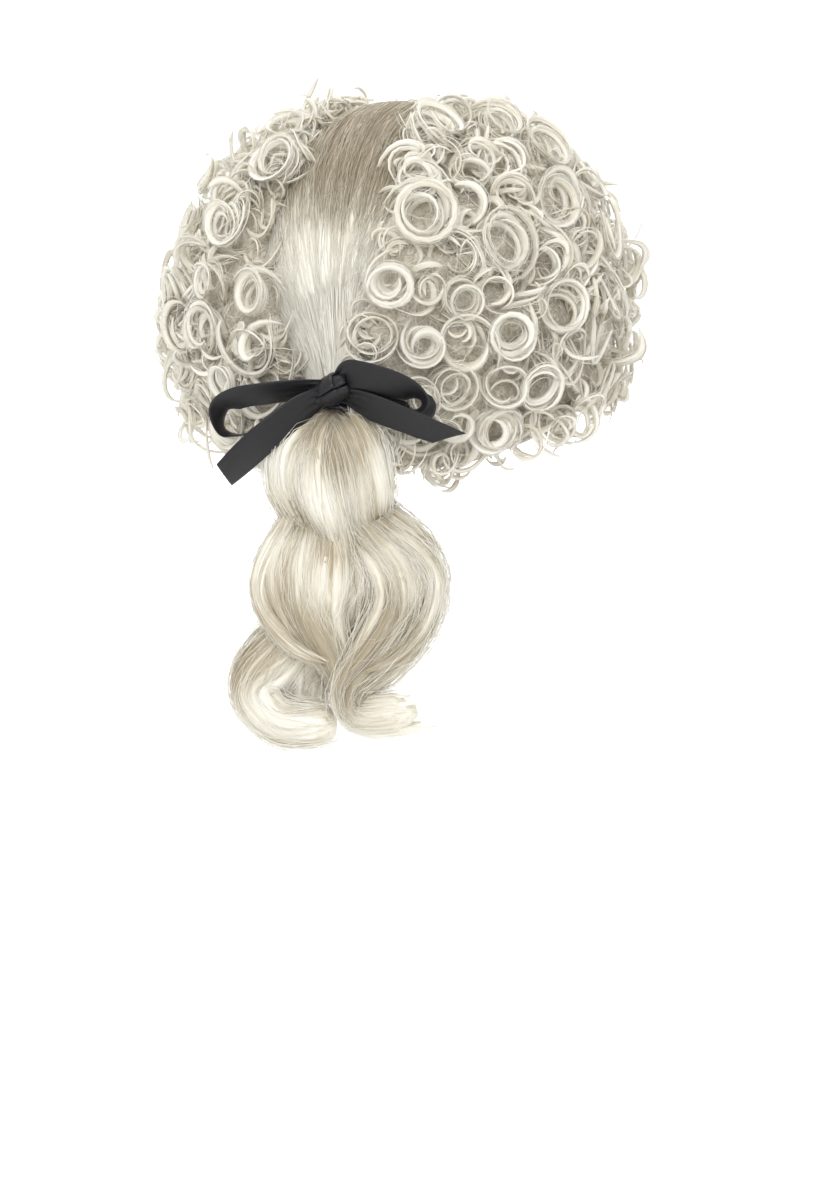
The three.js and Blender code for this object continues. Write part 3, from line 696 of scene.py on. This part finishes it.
def make_crown(sizes):
    """The smooth hair combed back from the forehead into the tie."""
    random = np.random.default_rng(sizes.seed + 1)
    turns, steps = 240, 28
    directions, shares, turn = knot_patch(sizes, turns, steps)
    ridges = 0.6 * MM * combed_turn(random, turn, (30, 70)) + 0.3 * MM * combed_turn(random, turn, (90, 140))
    fade = np.clip(shares * 3, 0, 1)[:, None]
    outside = COMBED_OUTSIDE + (ridges[None, :] - 0.8 * MM) * fade
    # Painted shade over the top of the crown and painted light lower down, with random ridges of tone.
    tone = crown_painted_shading(head_point(directions, 0)) + 0.1 * combed_turn(random, turn, (60, 140)) * fade
    finish = finish_named("powdered_hair")
    base = shell("crown_hair", directions, shares, outside, COMBED_INSIDE, tone, finish, "combed_hair", 150)
    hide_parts("combed_hair")
    paths = strip_strands(sizes, random, 1150, 12)
    rings = strand_rings(paths, paths - HEAD_CENTRE, sizes.strand * random.uniform(0.5, 1.0, len(paths)))
    spread, straight = strand_marks(random, rings, 0.25, 0.8)
    # The strands take the same painted shade and light as the hair under them.
    tone = crown_painted_shading(rings)
    tone = tone + spread * (0.24 - 0.24 * tone)
    closed_tubes("crown_strands", rings, tone, straight, finish, "combed_hair")


def curl_side(side, sizes, clear=0.0):
    """A test for the part of the head that one side's curls cover, less a margin."""
    def held(directions):
        inner = head_point(directions, BACKING_INSIDE)
        outer = head_point(directions, mass_grow(directions))
        above = outer[..., 2] > hem_height(CURL_HEM, outer) + clear
        return above & (side * inner[..., 0] > strip_edge(inner, side, sizes) + 0.6 * clear)
    return held


def curl_places(side, sizes, random):
    """Places and sizes of one side's ring curls, and of the waves that fill the room between them."""
    table = np.array(LEFT_CURLS if side > 0 else RIGHT_CURLS, float)
    directions = beside_strip(side * table[:, 0], table[:, 1])
    places = [(d, r * MM) for d, r in zip(directions, table[:, 2])]
    rings = len(places)
    tries = unit(random.normal(size=(7000, 3)))
    for reach in (14, 11):
        for direction in tries[curl_side(side, sizes, 0.8 * reach * MM)(tries)]:
            radius = random.uniform(reach - 1, reach + 2) * MM
            point = head_point(direction, mass_grow(direction))
            gaps = [
                np.linalg.norm(point - head_point(d, mass_grow(d))) - 0.74 * (r + radius) for d, r in places
            ]
            if min(gaps) > 0:
                places.append((direction, radius))
    directions, radius = (np.array(column) for column in zip(*places))
    return (directions[:rings], radius[:rings]), (directions[rings:], radius[rings:])


def clear_of(directions, middles, radius):
    """Which directions lie outside the large curls."""
    points = head_point(directions, mass_grow(directions))[:, None]
    apart = np.linalg.norm(points - head_point(middles, mass_grow(middles)), axis=-1)
    return (apart > 0.95 * radius).all(1)


def curl_paths(random, locks, each, steps, loose):
    """Paths that roll round the locks' axes, several to a lock, and the way each lock's face looks."""
    count = len(locks["middle"]) * each
    one = {key: np.repeat(value, each, axis=0) for key, value in locks.items()}
    one = {key: value[:, None] for key, value in one.items()}
    shares = np.linspace(0, 1, steps)
    size = (count, 1)
    late = 0.05 * random.normal(size=size) * loose
    angle = one["begin"] + one["hand"] * 2 * np.pi * (one["turns"] * shares + late)
    root = (1 - shares) ** 6
    ring = one["radius"] * (1 - one["tighten"] * shares + 0.5 * root)
    ring = ring + wander(random, count, shares, 0.8) * (0.4 + loose) * 0.6 * MM
    rise = one["climb"] * (shares - 0.5) - one["radius"] * root
    first = unit(np.cross(one["axis"], UPWARDS + 0.01 * BACKWARDS))
    second = np.cross(one["axis"], first)
    outward = first * np.cos(angle)[..., None] + second * np.sin(angle)[..., None]
    tilt = one["tilt"][..., None]
    face = outward * np.cos(tilt) - one["axis"] * np.sin(tilt)
    broad = outward * np.sin(tilt) + one["axis"] * np.cos(tilt)
    beside = random.uniform(-0.6, 0.6, size) * one["band"] * loose
    off = random.normal(0.4, 0.8, size) * MM * loose * np.ones(steps)
    path = one["middle"] + one["drift"] * (shares - 0.5)[:, None]
    path = path + outward * ring[..., None] + one["axis"] * rise[..., None]
    return path + broad * beside[..., None] + face * off[..., None], face


def curl_rings(kind, random, sizes, directions, grow, radius):
    """The rings of points of one kind of curl: each lock's flat band, and the strands that hug it."""
    tilt, least, most, share, drift, layers, strands, steps = CURL_KINDS[kind]
    back = 0.6 * np.clip(directions[:, 1:2], 0, 1) * BACKWARDS
    axis = unit(head_normal(directions) + back + tilt * random.normal(size=directions.shape))
    middle = head_point(directions, grow)
    band = share * sizes.curl_band
    locks = rolled(random, middle, axis, radius, (least, most), band, drift * MM, layers)
    paths, face = curl_paths(random, locks, 1, steps, 0.0)
    wide = 0.5 * locks["band"][:, None] * (1 + 0.2 * wander(random, len(paths), np.linspace(0, 1, steps), 0.7))
    thin = random.uniform(0.25, 0.5, (len(paths), 1)) * MM * np.ones(steps)
    flat, straight = lock_rings(random, paths, face, wide, thin, 5, 0.12)
    # Painted shade: the bands and strands are darker the deeper they lie in the curls' mass.
    tone = painted_depth_shade(flat, 0.56, 0.7) + random.normal(0, 0.07, (len(paths), 1, 1))
    paths, face = curl_paths(random, locks, strands, steps, 1.0)
    fine = strand_rings(paths, face, sizes.strand * random.uniform(0.5, 0.95, len(paths)))
    fine_tone, fine_straight = strand_marks(random, fine, 0.0, 0.1)
    return (flat, tone, straight), (fine, painted_depth_shade(fine, 0.62, 0.86) + fine_tone, fine_straight)


def rolled(random, middle, axis, radius, turns, band, drift, layers):
    """How each of several curls' locks is rolled: the deeper ones are narrower rings."""
    one = {"middle": middle, "axis": axis, "radius": radius, "hand": random.choice([-1, 1], len(middle)),
           "drift": np.cross(axis, unit(random.normal(size=axis.shape))) * drift}
    one = {key: np.repeat(value, layers, axis=0) for key, value in one.items()}
    count = len(one["middle"])
    order = np.tile(np.arange(layers), len(middle))
    one["middle"] = one["middle"] - one["axis"] * (order * 2.2 * MM)[:, None]
    one["middle"] = one["middle"] + random.normal(0, 1.3 * MM, (count, 3))
    one["axis"] = unit(one["axis"] + random.normal(0, 0.15, (count, 3)))
    one["radius"] = one["radius"] * (1 - 0.09 * order) * random.uniform(0.84, 1, count) - 0.2 * band
    one["begin"] = random.uniform(0, 2 * np.pi, count)
    one["tighten"] = random.uniform(0.0, 0.35, count)
    one["climb"] = random.uniform(2, 8, count) * MM
    one["turns"] = random.uniform(*turns, count)
    one["band"] = random.uniform(0.4, 1.1, count) * band
    one["tilt"] = np.radians(random.uniform(20, 75, count))
    one["drift"] = one["drift"] * random.uniform(0, 1, (count, 1))
    return one


def make_curls(side, sizes):
    """One side's ring curls, the small curls between them, and the matted hair that carries them."""
    name = "left" if side > 0 else "right"
    random = np.random.default_rng(sizes.seed + 10 + side)
    finish = finish_named("powdered_hair")
    directions, shares, turn = patch(ASIDE * side, UPWARDS, curl_side(side, sizes), 120, 18)
    points = head_point(directions, mass_grow(directions)) / MM
    lumps = np.sin(points[..., 0] / 4.1 + 2 * np.sin(points[..., 1] / 6.3)) * np.sin(points[..., 2] / 4.7)
    outside = mass_grow(directions, -7 * MM) + 2.0 * MM * lumps
    # Painted shade: the backing under the curls is darker than the curls, and darkest in the hollows between its
    # lumps.
    tone = 0.45 + 0.12 * lumps
    backing = shell(
        f"curl_backing_{name}", directions, shares, outside, BACKING_INSIDE, tone,
        finish_named("matted_hair"), "curled_hair",
    )
    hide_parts(f"curls_{name}")

    rings, waves = curl_places(side, sizes, random)
    tries = unit(random.normal(size=(4000, 3)))
    inner = tries[curl_side(side, sizes, 4 * MM)(tries) & clear_of(tries, *rings)][:190]
    edge = curl_side(side, sizes, -1 * MM)(tries) & ~curl_side(side, sizes, 8 * MM)(tries)
    edge = tries[edge][:90]
    share = random.uniform(0, 1, len(edge))
    edge_grow = BACKING_INSIDE + 3 * MM + share * (mass_grow(edge, -1 * MM) - BACKING_INSIDE - 3 * MM)
    groups = (
        ("ring", rings[0], mass_grow(rings[0], RING_LIFT + random.uniform(-1, 4, len(rings[0])) * MM), rings[1]),
        ("wave", waves[0], mass_grow(waves[0], random.uniform(0, 6, len(waves[0])) * MM), waves[1]),
        ("small", inner, mass_grow(inner, random.uniform(-4, 4, len(inner)) * MM),
         random.uniform(6, 13, len(inner)) * MM),
        ("edge", edge, edge_grow, random.uniform(5, 10, len(edge)) * MM),
    )
    made = [curl_rings(kind, random, sizes, *places) for kind, *places in groups]
    for which, piece in ((slice(0, 2), "ring"), (slice(2, 4), "small")):
        flats, fines = zip(*made[which])
        for rows, kind in ((flats, "curls"), (fines, "strands")):
            closed_tubes(f"{piece}_{kind}_{name}", *joined_rings(*rows), finish, "curled_hair")


def queue_paths(rows, random, count, steps, within, loose=0.0, reach=1.0):
    """Paths inside one of the queue's locks, the way out from its middle, and its half sizes there."""
    begin = random.uniform(0, 0.06, (count, 1)) * loose
    end = 1 - random.uniform(0, 0.1, (count, 1)) * loose
    shares = begin + (end - begin) * np.linspace(0, 1, steps)[None, :]
    values = along_rows(rows, shares * reach)
    path = TIE_CENTRE + np.stack([
        values[..., 0] * QUEUE_HALF_WIDTH,
        values[..., 1] * QUEUE_HALF_WIDTH,
        -values[..., 2] * QUEUE_LENGTH,
    ], -1)
    width = values[..., 3] * QUEUE_HALF_WIDTH
    depth = values[..., 4] * QUEUE_DEPTH / 2
    across, outward = frames_along(path, BACKWARDS + 0 * path)
    turn = random.uniform(0, 2 * np.pi, (count, 1))
    far = random.uniform(*within, (count, 1))
    twist = turn + 0.45 * wander(random, count, np.linspace(0, 1, steps), 0.4)
    radial = across * (width * np.cos(twist))[..., None] + outward * (depth * np.sin(twist))[..., None]
    return path + radial * far[..., None], unit(radial), width, depth


def queue_painted_shading(points, tone):
    """How pale the queue's hair is: painted highlights where its waves catch the light, painted shade where they
    dip, and a greyer painted shadow under the knot.
    """
    below = (TIE_CENTRE[2] - points[..., 2]) / QUEUE_LENGTH
    below = below + 0.06 * np.sin(points[..., 0] / (9 * MM))
    return tone + np.interp(below, *zip(*QUEUE_PAINTED_LIGHT))


def make_queue(sizes):
    """The queue: waved locks that fall from the tie and curl up at their ends."""
    random = np.random.default_rng(sizes.seed + 30)
    finish = finish_named("powdered_hair")
    cores, wisps, fines = [], [], []
    # Each lock's cores, wisps and strands get the queue's painted highlights and painted shade along its length.
    for rows in QUEUE_LOCKS.values():
        paths, outward, width, depth = queue_paths(rows, random, 1, 40, (0, 0.01), reach=0.96)
        rings, straight = lock_rings(
            random, paths, BACKWARDS + 0 * paths, width * 0.86, depth * 0.86, 28, 0.05, (9, 16)
        )
        # Painted shade: the cores under the wisps and strands are painted much darker, where they show between
        # the wisps.
        cores.append((rings, queue_painted_shading(rings, 0.36), straight))
        count, steps = 7, 25
        paths, outward, width, depth = queue_paths(rows, random, count, steps, (0.5, 0.78), 1.0)
        share = random.uniform(0.2, 0.42, (count, 1))
        rings, straight = lock_rings(
            random, paths, outward, width * share, depth * share * 0.8, 12, 0.08, (8, 7)
        )
        wisps.append((rings, queue_painted_shading(rings, 0.66 + random.normal(0, 0.09, (count, 1, 1))), straight))
        count, steps = 20 + int(300 * rows[2][3]), 20
        paths, outward, width, depth = queue_paths(rows, random, count, steps, (0.9, 1.08), 1.0)
        away = wander(random, count, np.linspace(0, 1, steps), 1.2) * 0.7 * MM
        rings = strand_rings(
            paths + outward * away[..., None], outward, sizes.strand * random.uniform(0.5, 1.0, count)
        )
        tone, straight = strand_marks(random, rings, 0.76, 0.16)
        fines.append((rings, queue_painted_shading(rings, tone), straight))
    for name, parts in (("queue_wisps", wisps), ("queue_strands", fines)):
        closed_tubes(name, *joined_rings(*parts), finish, "curled_hair")
    strays = []
    for name, count in (("right", 60), ("side", 50), ("left", 40), ("left_end", 40)):
        paths, outward, _, _ = queue_paths(QUEUE_LOCKS[name], random, count, 24, (1.0, 1.25), 2.5)
        aside = random.normal(0, 4 * MM, (count, 1, 3)) * np.linspace(0, 1, 24)[:, None] ** 2
        away = wander(random, count, np.linspace(0, 1, 24), 1.6) * 2.6 * MM
        rings = strand_rings(paths + aside + outward * away[..., None], outward, np.full(count, 0.24 * MM))
        strays.append((rings, *strand_marks(random, rings, 0.85, 0.1)))
    closed_tubes("queue_strays", *joined_rings(*strays), finish, "curled_hair")
    base = closed_tubes("queue_locks", *joined_rings(*cores), finish, "curled_hair")
    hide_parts("queue")


def ribbon_rings(rows, slant, sizes, steps, across_steps, thickness):
    """A satin strip along a table's rows, pleated where it is pulled narrow, its end cut on a slant."""
    shares = np.linspace(0, 1, steps)[None, :]
    values = along_rows(rows, shares)
    path = KNOT_CENTRE + np.stack([values[..., 0], values[..., 2], -values[..., 1]], -1) * BOW_HALF_LENGTH
    lean = np.radians(values[..., 4])
    upright = np.stack([0 * lean, np.sin(lean), np.cos(lean)], -1)
    through, upright = frames_along(path, upright)
    wide = np.clip(values[..., 3], 0.3, 1) * sizes.ribbon / 2
    side = np.linspace(-1, 1, across_steps)
    pleat = (1 - np.clip(values[..., 3], 0, 1)) * 2.6 * MM
    fold = np.cos(side * 3.5 * np.pi) * pleat[..., None] + (1 - side**2) * 0.5 * MM
    front = path[:, :, None] + upright[:, :, None] * (wide[..., None] * side)[..., None]
    ahead = unit(np.gradient(path, axis=1))[:, :, None]
    front = front + ahead * (ease((shares - 0.7) / 0.3)[..., None] * slant * wide[..., None] * side)[..., None]
    faces = [
        front + through[:, :, None] * (fold + half)[..., None]
        for half in (-thickness / 2, thickness / 2)
    ]
    rings = np.concatenate([faces[0], faces[1][:, :, ::-1]], axis=2)
    length = np.linalg.norm(np.diff(path, axis=1), axis=-1).cumsum(1)
    length = np.concatenate([[[0.0]], length], 1)
    both = np.concatenate([side, side[::-1]])
    straight = np.stack([
        np.broadcast_to(both * sizes.ribbon / 2, rings.shape[:3]),
        np.zeros(rings.shape[:3]),
        np.broadcast_to(length[..., None], rings.shape[:3]),
    ], -1) / MM
    tone = np.broadcast_to((np.abs(both) > 0.9) * 0.6, rings.shape[:3])
    return rings, tone, straight, float(length[0, -1])


def make_bow(sizes):
    """The bow: two loops and two tails of satin ribbon, the knot and the tie."""
    finish = finish_named("satin_ribbon")
    for name, rows in BOW_RIBBONS.items():
        slant = TAIL_SLANTS.get(name, 0)
        rings, tone, straight, length = ribbon_rings(rows, slant, sizes, 70, 13, 0.45 * MM)
        piece = closed_tubes(name + "_satin", rings, tone, straight, finish, "ribbon")
        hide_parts(name)
    random = np.random.default_rng(sizes.seed + 40)
    turn = np.linspace(0, 2 * np.pi, 49)
    paths, outwards = [], []
    for lean, size, shift in ((26, 0.96, -4.6), (26, 0.96, 4.6), (34, 1.08, 0.2)):
        tilt = math.radians(lean)
        side = ASIDE * math.cos(tilt) - UPWARDS * math.sin(tilt)
        upright = UPWARDS * math.cos(tilt) + ASIDE * math.sin(tilt)
        ring = (
            upright * np.sin(turn)[:, None] * 5.4 * MM * size
            + BACKWARDS * np.cos(turn)[:, None] * 7.6 * MM * size
        )
        paths.append(KNOT_CENTRE + ring + side * shift * MM)
        outwards.append(unit(ring))
    paths, outwards = np.array(paths), np.array(outwards)
    wide = np.full(paths.shape[:2], 5.4 * MM)
    rings, straight = lock_rings(
        random, paths, outwards, wide, np.full(paths.shape[:2], 1.5 * MM), 20, 0.12, (50, 50)
    )
    knot = closed_tubes("ribbon_knot_satin", rings, 0.1, straight, finish, "ribbon")
    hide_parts("ribbon_knot")
    side = np.cross(NECK_AHEAD, NECK_UP)
    ring = side * np.cos(turn)[:, None] + NECK_UP * np.sin(turn)[:, None]
    paths = np.array([TIE_CENTRE + ring * 13 * MM + NECK_AHEAD * shift * MM for shift in (-4.5, -1.5, 1.5, 4.5)])
    rings, straight = lock_rings(
        random, paths, np.broadcast_to(ring, paths.shape), np.full(paths.shape[:2], 1.8 * MM),
        np.full(paths.shape[:2], 1.3 * MM), 10, 0.1,
    )
    tie = closed_tubes("ribbon_tie_satin", rings, 0.1, straight, finish, "ribbon")
    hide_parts("ribbon_tie")


def make_flyaways(sizes):
    """Fine stray hairs that stand off the curls."""
    random = np.random.default_rng(sizes.seed + 50)
    finish = finish_named("powdered_hair")
    steps = 11
    shares = np.linspace(0, 1, steps)
    count = 560
    tries = unit(random.normal(size=(6 * count, 3)))
    held = (curl_side(1, sizes)(tries) | curl_side(-1, sizes)(tries))
    directions = tries[held][:count]
    normal = head_normal(directions)
    axis = unit(random.normal(size=normal.shape))
    first = unit(np.cross(axis, normal))
    second = np.cross(axis, first)
    radius = random.uniform(5, 16, len(directions)) * MM
    angle = shares[None, :] * random.uniform(2.5, 6, (len(directions), 1))
    angle = angle + random.uniform(0, 6, (len(directions), 1))
    middle = head_point(directions, mass_grow(directions, random.uniform(0, 9, len(directions)) * MM))
    paths = middle[:, None] + radius[:, None, None] * (
        first[:, None] * np.cos(angle)[..., None] + second[:, None] * np.sin(angle)[..., None]
    )
    paths = paths + axis[:, None] * (shares * 9 * MM)[None, :, None]
    rings = strand_rings(paths, normal[:, None] + 0 * paths, 0.22 * MM * np.ones(len(paths)))
    tones, straight = strand_marks(random, rings, 0.85, 0.1)
    closed_tubes("curl_flyaways", rings, tones, straight, finish, "curled_hair")


def make_stage(sizes):
    """A pale floor that sweeps up behind the wig, soft studio light and the camera."""
    half, depth, floor_z, bend = 6.0, 5.0, -0.62, 1.5
    profile = [(4.5, floor_z)]
    profile += [
        (-depth + bend * (1 - math.sin(t)), floor_z + bend * (1 - math.cos(t)))
        for t in np.linspace(0, math.pi / 2, 16)
    ]
    profile.append((-depth, 5.0))
    view = math.radians(198)
    right = Vector((math.cos(view), math.sin(view), 0))
    back = Vector((math.sin(view), -math.cos(view), 0))
    vertices = [right * x + back * y + Vector((0, 0, z)) for y, z in profile for x in (-half, half)]
    faces = [(2 * i, 2 * i + 1, 2 * i + 3, 2 * i + 2) for i in range(len(profile) - 1)]
    mesh = bpy.data.meshes.new("studio_floor")
    mesh.from_pydata(vertices, [], faces)
    mesh.shade_smooth()
    material, tree, shader = node_tree("studio_floor")
    shader.inputs["Base Color"].default_value = (0.9, 0.9, 0.9, 1)
    shader.inputs["Roughness"].default_value = 0.9
    mesh.materials.append(material)
    floor = bpy.data.objects.new("studio_floor", mesh)
    bpy.context.scene.collection.objects.link(floor)

    target = Vector((0, 0.03, -0.13))
    lights = (
        ("key_light", 184, 30, 2.3, 1.0, 20),
        ("fill_light", 255, 20, 2.6, 1.8, 6),
        ("front_fill", 20, 30, 2.8, 1.8, 12),
        ("top_light", 0, 88, 2.4, 1.8, 5),
    )
    for name, azimuth, elevation, far, size, watts in lights:
        light = bpy.data.lights.new(name, "AREA")
        light.size = size
        light.energy = watts
        lamp = bpy.data.objects.new(name, light)
        a, e = math.radians(azimuth), math.radians(elevation)
        away = Vector((math.sin(a) * math.cos(e), -math.cos(a) * math.cos(e), math.sin(e)))
        lamp.location = target + away * far
        lamp.rotation_euler = (-away).to_track_quat("-Z", "Y").to_euler()
        bpy.context.scene.collection.objects.link(lamp)

    backdrop_light = bpy.data.lights.new("backdrop_light", "AREA")
    backdrop_light.size = 3
    backdrop_light.energy = 150
    lamp = bpy.data.objects.new("backdrop_light", backdrop_light)
    lamp.location = back * -1.6 + Vector((0, 0, 3.2))
    lamp.rotation_euler = (back * -3.2 + Vector((0, 0, -2.4))).to_track_quat("-Z", "Y").to_euler()
    bpy.context.scene.collection.objects.link(lamp)

    world = bpy.data.worlds.new("studio")
    world.use_nodes = True
    world.node_tree.nodes["Background"].inputs["Color"].default_value = (1, 1, 1, 1)
    world.node_tree.nodes["Background"].inputs["Strength"].default_value = 0.85
    bpy.context.scene.world = world
    bpy.context.scene.view_settings.view_transform = "Standard"

    # At the wig's distance one pixel of the 840 by 1200 image is half a millimetre.
    distance, elevation = 2.6, math.radians(12)
    image_height = 1200 * 0.5 * MM
    toward = back * math.cos(elevation) + Vector((0, 0, math.sin(elevation)))
    upward = toward.cross(right)
    middle = Vector((0, 0.03, -0.13))
    camera_data = bpy.data.cameras.new("camera")
    camera = bpy.data.objects.new("camera", camera_data)
    camera.location = middle + toward * distance
    frame_middle = right * 0.009 + upward * -0.2367 + toward * middle.dot(toward)
    aim = frame_middle - camera.location
    camera_data.sensor_width = 36
    camera_data.lens = 36 * distance / image_height
    camera_data.clip_end = 50
    camera.rotation_euler = aim.to_track_quat("-Z", "Y").to_euler()
    bpy.context.scene.collection.objects.link(camera)
    bpy.context.scene.camera = camera


class WIG_OT_cap(bpy.types.Operator):
    """Makes the net cap inside the wig."""

    bl_idname = "wig.cap"
    bl_label = "Net cap"

    def execute(self, context):
        make_cap(context.scene.wig_sizes)
        return {"FINISHED"}


class WIG_OT_crown(bpy.types.Operator):
    """Makes the smooth hair combed back over the crown."""

    bl_idname = "wig.crown"
    bl_label = "Combed crown"

    def execute(self, context):
        make_crown(context.scene.wig_sizes)
        return {"FINISHED"}


class WIG_OT_curls(bpy.types.Operator):
    """Makes the ring curls at both sides."""

    bl_idname = "wig.curls"
    bl_label = "Ring curls"

    def execute(self, context):
        for side in (1, -1):
            make_curls(side, context.scene.wig_sizes)
        return {"FINISHED"}


class WIG_OT_queue(bpy.types.Operator):
    """Makes the waved queue."""

    bl_idname = "wig.queue"
    bl_label = "Queue"

    def execute(self, context):
        make_queue(context.scene.wig_sizes)
        return {"FINISHED"}


class WIG_OT_bow(bpy.types.Operator):
    """Makes the ribbon bow, its knot and the tie."""

    bl_idname = "wig.bow"
    bl_label = "Ribbon bow"

    def execute(self, context):
        make_bow(context.scene.wig_sizes)
        return {"FINISHED"}


class WIG_OT_flyaways(bpy.types.Operator):
    """Makes the fine stray hairs."""

    bl_idname = "wig.flyaways"
    bl_label = "Stray hairs"

    def execute(self, context):
        make_flyaways(context.scene.wig_sizes)
        return {"FINISHED"}


class WIG_OT_stage(bpy.types.Operator):
    """Makes the floor, the lights and the camera."""

    bl_idname = "wig.stage"
    bl_label = "Studio"

    def execute(self, context):
        make_stage(context.scene.wig_sizes)
        return {"FINISHED"}


OPERATORS = (
    WIG_OT_stage, WIG_OT_cap, WIG_OT_crown, WIG_OT_curls, WIG_OT_queue, WIG_OT_bow, WIG_OT_flyaways,
)


class WIG_PT_panel(bpy.types.Panel):
    """Lists the wig's pieces, sizes and colours."""

    bl_idname = "WIG_PT_panel"
    bl_label = "Powdered Wig"
    bl_space_type = "VIEW_3D"
    bl_region_type = "UI"
    bl_category = "Wig"

    def draw(self, context):
        for group in (context.scene.wig_sizes, context.scene.wig_colours):
            for name in group.__annotations__:
                self.layout.prop(group, name)
        for operator in OPERATORS:
            self.layout.operator(operator.bl_idname)


CLASSES = (WigSizes, WigColours, *OPERATORS, WIG_PT_panel)


def register():
    for known in CLASSES:
        bpy.utils.register_class(known)
    bpy.types.Scene.wig_sizes = bpy.props.PointerProperty(type=WigSizes)
    bpy.types.Scene.wig_colours = bpy.props.PointerProperty(type=WigColours)


def unregister():
    del bpy.types.Scene.wig_sizes
    del bpy.types.Scene.wig_colours
    for known in reversed(CLASSES):
        bpy.utils.unregister_class(known)


def main():
    register()
    for operator in OPERATORS:
        group, name = operator.bl_idname.split(".")
        getattr(getattr(bpy.ops, group), name)()


if __name__ == "__main__":
    main()
